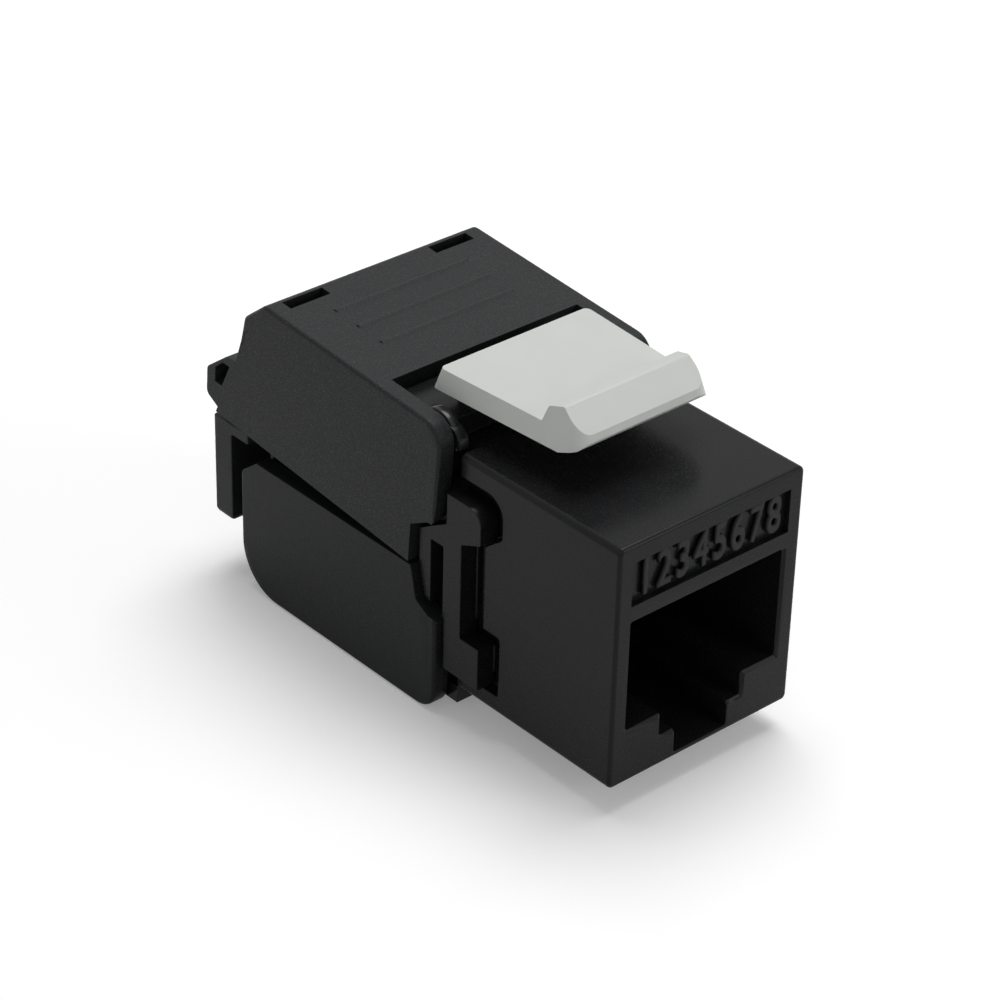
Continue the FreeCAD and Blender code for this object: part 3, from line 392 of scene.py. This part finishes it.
def plated_metal(name, colour_value, roughness, grain):
    """Plated strip with drawn lines along the jack and faint tarnish."""
    finish = Finish(name, colour_value, roughness, metallic=1.0)
    along = finish.node("ShaderNodeMapping", {}, Vector=finish.place(), Scale=(9.0, 1.0, 9.0),
                        output="Vector")
    lines = finish.noise(grain * 6, detail=3.0, where=along)
    tarnish = finish.noise(grain * 12, detail=3.0)
    finish.set("Base Color", finish.mix(tarnish, shade(colour_value, 0.8), shade(colour_value, 1.08)))
    finish.set("Roughness", (roughness + (lines - 0.5) * 0.2).clamp())
    finish.bump(lines, 0.004 * MM, 0.4)
    return finish.material


def board_laminate(name, colour_value, grain):
    """Cloudy solder mask over a woven glass laminate."""
    finish = Finish(name, colour_value, 0.32, coat=0.3)
    where = finish.place()
    warp, weft = (finish.node("ShaderNodeTexWave", {"bands_direction": axis}, Vector=where,
                              Scale=1 / WEAVE_PITCH, Distortion=0.0, output="Fac") for axis in "XY")
    cloud = finish.noise(grain * 20)
    finish.set("Base Color", finish.mix(cloud, shade(colour_value, 0.8), shade(colour_value, 1.25)))
    finish.bump(warp * weft, 0.01 * MM, 0.4)
    return finish.material


# ---------------------------------------------------------------- meshes

def link(obj):
    """Put an object in the scene, and hand it back."""
    bpy.context.scene.collection.objects.link(obj)
    return obj


def settled(obj, name):
    """A plain mesh object of an object's evaluated shape; the first object goes."""
    bpy.context.view_layer.update()
    graph = bpy.context.evaluated_depsgraph_get()
    mesh = bpy.data.meshes.new_from_object(obj.evaluated_get(graph))
    mesh.name = name
    source = obj.data
    bpy.data.objects.remove(obj)
    bpy.data.meshes.remove(source)
    return link(bpy.data.objects.new(name, mesh))


def merged_copy(node, name):
    """A copy of a CAD node's triangles, welded and with its flat faces joined again."""
    mesh = frame["nodes"][node].data.copy()
    mesh.materials.clear()
    work = bmesh.new()
    work.from_mesh(mesh)
    bmesh.ops.remove_doubles(work, verts=work.verts, dist=WELD)
    bmesh.ops.dissolve_limit(work, angle_limit=FLAT_ANGLE, verts=work.verts, edges=work.edges)
    work.to_mesh(mesh)
    work.free()
    for attribute in [each for each in mesh.attributes if each.name == "custom_normal"]:
        mesh.attributes.remove(attribute)
    return link(bpy.data.objects.new(name, mesh))


def crisp(obj, name):
    """Smooth shading that keeps flats flat and sharp edges sharp."""
    for polygon in obj.data.polygons:
        polygon.use_smooth = True
    obj.data.set_sharp_from_angle(angle=SHARP_ANGLE)
    weights = obj.modifiers.new("flat_normals", "WEIGHTED_NORMAL")
    weights.keep_sharp = True
    return settled(obj, name)


def tighten(mesh, wide, fine):
    """Turn the fillets along a shell's sides from radius `wide` to radius `fine`, in place."""
    work = bmesh.new()
    work.from_mesh(mesh)
    inner = max(vertex.co.x for vertex in work.verts) - wide
    least, most = WING_EDGE_SLOPES
    turned = {}
    for face in work.faces:
        nearest = min(abs(each.co.x) for each in face.verts)
        if least < abs(face.normal.x) < most and nearest > inner - EDGE_SLACK:
            for each in face.verts:
                flat = Vector((0.0, face.normal.y, face.normal.z))
                turned[each] = turned.get(each, Vector()) + flat.normalized() * face.calc_area()
    for vertex, flat in turned.items():
        level = min(1.0, max(0.0, (abs(vertex.co.x) - inner) / wide))
        rise = math.sqrt(1.0 - level * level)
        vertex.co.x += math.copysign((wide - fine) * (1.0 - level), vertex.co.x)
        vertex.co += flat.normalized() * (wide - fine) * (1.0 - rise)
    work.to_mesh(mesh)
    work.free()


def pinch_ridges(mesh, share):
    """Narrow the tops of the ridges on a shell's roof to a share of their width."""
    roof = max((face for face in mesh.polygons if face.normal.z > LOOKS_UP), key=lambda face: face.area)
    level = roof.center.dot(roof.normal)
    tops = [each for each in mesh.vertices if each.co.dot(roof.normal) > level + RIDGE_RISE]
    tops.sort(key=lambda each: each.co.y)
    ridges = []
    for each in tops:
        if not ridges or each.co.y - ridges[-1][-1].co.y > RIDGE_PITCH:
            ridges.append([])
        ridges[-1].append(each)
    along = roof.normal.cross(Vector((1.0, 0.0, 0.0)))
    for ridge in ridges:
        middle = sum(each.co.dot(along) for each in ridge) / len(ridge)
        for each in ridge:
            each.co -= along * (each.co.dot(along) - middle) * (1.0 - share)


def mark_edges(mesh, sharpest, crisp_zone):
    """Give a bevel weight to edges sharper than an angle, except those that lie in a zone kept crisp."""
    work = bmesh.new()
    work.from_mesh(mesh)
    weight = work.edges.layers.float.new("bevel_weight_edge")
    for edge in work.edges:
        if len(edge.link_faces) == 2 and edge.calc_face_angle() > sharpest:
            edge[weight] = 0.0 if all(crisp_zone(each.co) for each in edge.verts) else 1.0
    work.to_mesh(mesh)
    work.free()


def rounded(node, name, radius, material, segments=2, sharpest=ROLLED_ANGLE, tightened=0.0, pinched=1.0,
            crisp_zone=lambda place: False):
    """A CAD node's shell with its sharp edges rolled over, standing for the node."""
    obj = merged_copy(node, name + "_raw")
    if tightened:
        tighten(obj.data, WING_EDGE, tightened)
    if pinched < 1.0:
        pinch_ridges(obj.data, pinched)
    mark_edges(obj.data, sharpest, crisp_zone)
    bevel = obj.modifiers.new("edge_round", "BEVEL")
    bevel.width = radius
    bevel.segments = segments
    bevel.limit_method = "WEIGHT"
    bevel.harden_normals = False
    bevel.use_clamp_overlap = True
    bevel.loop_slide = False
    bevel.miter_outer = "MITER_ARC"
    piece = crisp(settled(obj, name), name)
    piece.data.materials.append(material)
    return piece


def drawn(name, work, material):
    """A piece from a bmesh under construction, with crisp shading on its flats."""
    bmesh.ops.recalc_face_normals(work, faces=work.faces)
    mesh = bpy.data.meshes.new(name + "_raw")
    work.to_mesh(mesh)
    work.free()
    mesh.materials.append(material)
    return crisp(link(bpy.data.objects.new(name + "_raw", mesh)), name)


def block(name, low, high, radius, material):
    """A box between two corners, with rolled edges."""
    work = bmesh.new()
    place = Matrix.Translation((low + high) / 2) @ Matrix.Diagonal((*(high - low), 1.0))
    bmesh.ops.create_cube(work, size=1.0, matrix=place)
    bmesh.ops.bevel(work, geom=list(work.edges), offset=radius, segments=2, affect="EDGES", profile=0.5)
    return drawn(name, work, material)


def knuckle(name, middle, radius, width, floor, material):
    """A disc with rolled rims across a hinge's axis, cut off below a height."""
    work = bmesh.new()
    place = Matrix.Translation(middle) @ Matrix.Rotation(QUARTER_TURN, 4, "Y")
    bmesh.ops.create_cone(work, cap_ends=True, segments=KNUCKLE_SIDES, radius1=radius, radius2=radius,
                          depth=width, matrix=place)
    rims = [edge for edge in work.edges if any(len(face.verts) > 4 for face in edge.link_faces)]
    bmesh.ops.bevel(work, geom=rims, offset=width * KNUCKLE_RIM, segments=3, affect="EDGES", profile=0.5)
    bmesh.ops.bisect_plane(work, geom=list(work.verts) + list(work.edges) + list(work.faces),
                           plane_co=(0.0, 0.0, floor), plane_no=(0.0, 0.0, 1.0), clear_inner=True)
    bmesh.ops.holes_fill(work, edges=[edge for edge in work.edges if edge.is_boundary])
    return drawn(name, work, material)


def label_field():
    """The label recess on the front housing: the depth of its floor, and its lowest and highest height."""
    mesh = frame["nodes"]["front_housing"].data
    front = min(vertex.co.y for vertex in mesh.vertices)
    roof = max(vertex.co.z for vertex in mesh.vertices)
    nearest, deepest = (front + depth for depth in LABEL_DEPTHS)
    floors = [face for face in mesh.polygons
              if face.normal.y < -LOOKS_FORWARD and nearest < face.center.y < deepest
              and face.center.z > roof * LABEL_FOOT]
    corners = [mesh.vertices[index].co for face in floors for index in face.vertices]
    heights = [corner.z for corner in corners]
    return corners[0].y, min(heights), max(heights)


def stand_for(piece, node, body):
    """Let a piece take a CAD node's place on its body."""
    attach(piece, body)
    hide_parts(node)


def coat_node(node, material):
    """Give a CAD node its finish."""
    obj = frame["nodes"][node]
    obj.data.materials.clear()
    obj.data.materials.append(material)
    for polygon in obj.data.polygons:
        polygon.material_index = 0


# ---------------------------------------------------------------- stage

def build_floor(height):
    """A plain pale floor that glows a little to the eye, so that its shadows stay and the rest is white."""
    mesh = bpy.data.meshes.new("floor")
    corners = [(across * FLOOR_HALF, along * FLOOR_HALF, height)
               for across, along in ((-1, -1), (1, -1), (1, 1), (-1, 1))]
    mesh.from_pydata(corners, [], [(0, 1, 2, 3)])
    floor = link(bpy.data.objects.new("floor", mesh))
    paper = Finish("floor_paper", FLOOR_PAPER, 0.9, specular=0.0)
    glow = paper.node("ShaderNodeEmission", {}, Color=(1, 1, 1, 1), Strength=paper.seen() * FLOOR_GLOW)
    total = paper.node("ShaderNodeAddShader", {}, Wire(paper, paper.shader.outputs[0]), glow)
    paper.feed(paper.tree.nodes["Material Output"].inputs["Surface"], total)
    mesh.materials.append(paper.material)
    floor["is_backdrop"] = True


def build_world():
    """A white surrounding for the eye, for gloss and for glass, and a softer one for diffuse light."""
    world = bpy.data.worlds.new("studio")
    world.use_nodes = True
    bpy.context.scene.world = world
    sky = Nodes(world.node_tree)
    background = sky.tree.nodes["Background"]
    sky.feed(background.inputs["Color"], (1, 1, 1, 1))
    level = sky.node("ShaderNodeMapRange", {}, sky.seen(), To_Min=SKY_LEVEL, To_Max=1.0)
    sky.feed(background.inputs["Strength"], level)


def build_lamps():
    """Square soft lamps, all turned towards the jack."""
    for name, lamp in LAMPS.items():
        data = bpy.data.lights.new(name, "AREA")
        data.shape = "SQUARE"
        data.size = lamp["width"]
        data.energy = lamp["power"]
        obj = link(bpy.data.objects.new(name, data))
        obj.location = lamp["place"]
        obj.rotation_euler = (LAMP_AIM - Vector(lamp["place"])).to_track_quat("-Z", "Y").to_euler()


def build_camera(context):
    """A long lens that looks down on the jack's front left corner."""
    data = bpy.data.cameras.new("camera")
    data.lens = CAMERA_LENS
    data.sensor_width = CAMERA_SENSOR
    data.clip_start = CAMERA_NEAR
    camera = link(bpy.data.objects.new("camera", data))
    across = Vector((math.cos(CAMERA_AZIMUTH), math.sin(CAMERA_AZIMUTH), 0.0))
    back = Vector((math.sin(CAMERA_AZIMUTH) * math.cos(CAMERA_ELEVATION),
                   -math.cos(CAMERA_AZIMUTH) * math.cos(CAMERA_ELEVATION), math.sin(CAMERA_ELEVATION)))
    rise = back.cross(across)
    right = across * math.cos(CAMERA_ROLL) + rise * math.sin(CAMERA_ROLL)
    up = rise * math.cos(CAMERA_ROLL) - across * math.sin(CAMERA_ROLL)
    turn = Matrix((right, up, back)).transposed().to_4x4()
    camera.matrix_world = Matrix.Translation(CAMERA_TARGET + back * CAMERA_DISTANCE) @ turn
    context.scene.camera = camera
    context.scene.view_settings.view_transform = "Standard"


# ---------------------------------------------------------------- operators

class JACK_OT_stage(bpy.types.Operator):
    """Set the floor, soft lights, world and camera"""
    bl_idname = "jack.stage"
    bl_label = "Stage"

    def execute(self, context):
        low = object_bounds()[0]
        build_floor(low[2])
        build_world()
        build_lamps()
        build_camera(context)
        return {"FINISHED"}


class JACK_OT_front(bpy.types.Operator):
    """Dress the front housing in smooth black plastic with rolled edges"""
    bl_idname = "jack.front"
    bl_label = "Front housing"

    def execute(self, context):
        sizes, colours = values(context)
        black = moulded_plastic("housing_plastic", colours.housing_black, sizes.grain)
        depth, lowest, highest = label_field()
        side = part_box("front_housing")[1][0] - LABEL_BORDER

        def in_label(place):
            return (place.y < depth + EDGE_SLACK and abs(place.x) < side
                    and lowest - EDGE_SLACK < place.z < highest + EDGE_SLACK)

        piece = rounded("front_housing", "front_shell", sizes.edge_round, black, sharpest=ROLLED_FRONT_ANGLE,
                        crisp_zone=in_label)
        stand_for(piece, "front_housing", "jack")
        return {"FINISHED"}


class JACK_OT_body(bpy.types.Operator):
    """Dress the rear body and the cable bracket in black plastic"""
    bl_idname = "jack.body"
    bl_label = "Rear body and bracket"

    def execute(self, context):
        sizes, colours = values(context)
        black = moulded_plastic("body_plastic", colours.body_black, sizes.grain)
        shell = rounded("rear_body", "body_shell", sizes.edge_round, black)
        stand_for(shell, "rear_body", "jack")
        matt = moulded_plastic("bracket_plastic", colours.cover_black, sizes.grain)
        bracket = rounded("cable_bracket", "bracket_shell", sizes.edge_round, matt)
        stand_for(bracket, "cable_bracket", "jack")
        return {"FINISHED"}


class JACK_OT_hinges(bpy.types.Operator):
    """Add the hinge knuckles beside the latch and the lip under the body's front edge"""
    bl_idname = "jack.hinges"
    bl_label = "Hinge knuckles and lip"

    def execute(self, context):
        sizes, colours = values(context)
        black = moulded_plastic("hinge_plastic", colours.body_black, sizes.grain)
        hinge = next(each for each in frame["joints"] if each["name"] == "cover_hinge")
        axis_y, axis_z = hinge["pos_m"][1:]
        low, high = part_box("front_housing")
        for label, side in (("left", -1), ("right", 1)):
            middle = Vector((side * sizes.knuckle_middle, axis_y, axis_z))
            disc = knuckle(f"knuckle_{label}", middle, sizes.knuckle_radius, sizes.knuckle_width,
                           high[2] - sizes.edge_round, black)
            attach(disc, "jack")
        half = sizes.knuckle_middle + sizes.knuckle_width / 2
        front, foot = high[1] + LIP_GAP, low[2] + LIP_RISE
        lip = block("body_lip", Vector((-half, front, foot)),
                    Vector((half, front + LIP_LENGTH, foot + LIP_HEIGHT)), sizes.fine_round, black)
        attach(lip, "jack")
        return {"FINISHED"}


class JACK_OT_wings(bpy.types.Operator):
    """Dress the two hinged wings in spark-textured matt black"""
    bl_idname = "jack.wings"
    bl_label = "Hinged wings"

    def execute(self, context):
        sizes, colours = values(context)
        upper = moulded_plastic("cover_plastic", colours.cover_black, sizes.grain)
        lower = moulded_plastic("cap_plastic", colours.cover_black, sizes.grain)
        cover = rounded("top_cover", "cover_shell", sizes.edge_round, upper, tightened=sizes.wing_round,
                        pinched=RIDGE_CREST)
        stand_for(cover, "top_cover", "cover")
        cap = rounded("wire_cap", "cap_shell", sizes.edge_round, lower, tightened=sizes.wing_round)
        stand_for(cap, "wire_cap", "cap")
        return {"FINISHED"}


class JACK_OT_latch(bpy.types.Operator):
    """Dress the panel latch in satin light grey"""
    bl_idname = "jack.latch"
    bl_label = "Panel latch"

    def execute(self, context):
        sizes, colours = values(context)
        grey = latch_plastic("latch_plastic", colours.latch_grey, sizes.grain)
        piece = rounded("panel_latch", "latch_plate", sizes.latch_round, grey, segments=3)
        stand_for(piece, "panel_latch", "latch")
        return {"FINISHED"}


class JACK_OT_inside(bpy.types.Operator):
    """Dress the comb, board, wire blocks, contacts and blades"""
    bl_idname = "jack.inside"
    bl_label = "Inner parts"

    def execute(self, context):
        sizes, colours = values(context)
        comb = moulded_plastic("comb_plastic", colours.body_black, sizes.grain)
        pale = moulded_plastic("block_plastic", colours.block_white, sizes.grain)
        laminate = board_laminate("board_laminate", colours.mask_green, sizes.grain)
        gold = plated_metal("contact_gold", colours.gold, 0.22, sizes.grain)
        tin = plated_metal("blade_tin", colours.tin, 0.3, sizes.grain)
        coat_node("contact_sled", comb)
        coat_node("circuit_board", laminate)
        for node in frame["nodes"]:
            if node.startswith("idc_block"):
                coat_node(node, pale)
            elif node.startswith("idc_terminal"):
                coat_node(node, tin)
            elif node.startswith("contact_") and node != "contact_sled":
                coat_node(node, gold)
        return {"FINISHED"}


class JACK_OT_label(bpy.types.Operator):
    """Raise plain contact numbers in the label field"""
    bl_idname = "jack.label"
    bl_label = "Contact numbers"

    def execute(self, context):
        sizes, colours = values(context)
        depth, lowest, highest = label_field()
        black = moulded_plastic("label_plastic", colours.housing_black, sizes.grain)
        recipe = Recipe("contact_numbers", ("Size", "Rise", "Stroke"))
        rise, stroke = recipe.given("Rise"), recipe.given("Stroke")
        words = recipe.node("GeometryNodeStringToCurves", {"align_x": "CENTER", "align_y": "MIDDLE"},
                            String=DIGITS, Size=recipe.given("Size"), Character_Spacing=DIGIT_SPACING)
        outline = recipe.node("GeometryNodeRealizeInstances", {}, Geometry=words)
        flat = recipe.node("GeometryNodeFillCurve", {"mode": "NGONS"}, Curve=outline)
        raised = recipe.node("GeometryNodeExtrudeMesh", {"mode": "FACES"}, Mesh=flat, Offset_Scale=rise,
                             Individual=False)
        back = recipe.node("GeometryNodeFlipFaces", {}, Mesh=flat)
        welded = recipe.node("GeometryNodeMergeByDistance", {}, Geometry=recipe.join(raised, back),
                             Distance=WELD)
        ring = recipe.node("GeometryNodeCurvePrimitiveCircle", {}, Resolution=STROKE_SIDES, Radius=stroke)
        rim = recipe.node("GeometryNodeCurveToMesh", {}, Curve=outline, Profile_Curve=ring)
        lift = recipe.node("ShaderNodeCombineXYZ", {}, Z=rise - stroke)
        raised_rim = recipe.node("GeometryNodeTransform", {}, Geometry=rim, Translation=lift)
        recipe.end(recipe.join(welded, raised_rim), black)
        piece = recipe.grow("contact_numbers", Size=sizes.digit_height * DIGIT_FONT,
                            Rise=sizes.digit_rise, Stroke=sizes.digit_stroke)
        across = [vertex.co.x for vertex in piece.data.vertices]
        fit = min(1.0, DIGIT_SPAN / (max(across) - min(across)))
        piece.data.transform(Matrix.Scale(fit, 4, (1, 0, 0)))
        middle = Matrix.Translation((0.0, depth, (lowest + highest) / 2))
        piece.data.transform(middle @ Matrix.Rotation(QUARTER_TURN, 4, "X"))
        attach(piece, "jack")
        return {"FINISHED"}


class JACK_PT_panel(bpy.types.Panel):
    """Lists the jack's steps and its sizes and colours"""
    bl_idname = "JACK_PT_panel"
    bl_label = "Keystone jack"
    bl_space_type = "VIEW_3D"
    bl_region_type = "UI"
    bl_category = "Jack"

    def draw(self, context):
        layout = self.layout
        for step in STEPS:
            layout.operator(step.bl_idname)
        for group in values(context):
            for name in group.__annotations__:
                layout.prop(group, name)


STEPS = (JACK_OT_stage, JACK_OT_front, JACK_OT_body, JACK_OT_hinges, JACK_OT_wings, JACK_OT_latch,
         JACK_OT_inside, JACK_OT_label)
CLASSES = (JackSizes, JackColours) + STEPS + (JACK_PT_panel,)


def register():
    """Make the classes and the scene's sizes and colours known."""
    for each in CLASSES:
        bpy.utils.register_class(each)
    bpy.types.Scene.jack_sizes = PointerProperty(type=JackSizes)
    bpy.types.Scene.jack_colours = PointerProperty(type=JackColours)


def unregister():
    """Take them away again."""
    del bpy.types.Scene.jack_colours
    del bpy.types.Scene.jack_sizes
    for each in reversed(CLASSES):
        bpy.utils.unregister_class(each)


def main():
    """Run every step in order."""
    register()
    for step in STEPS:
        group, name = step.bl_idname.split(".")
        getattr(getattr(bpy.ops, group), name)()


if __name__ == "__main__":
    main()
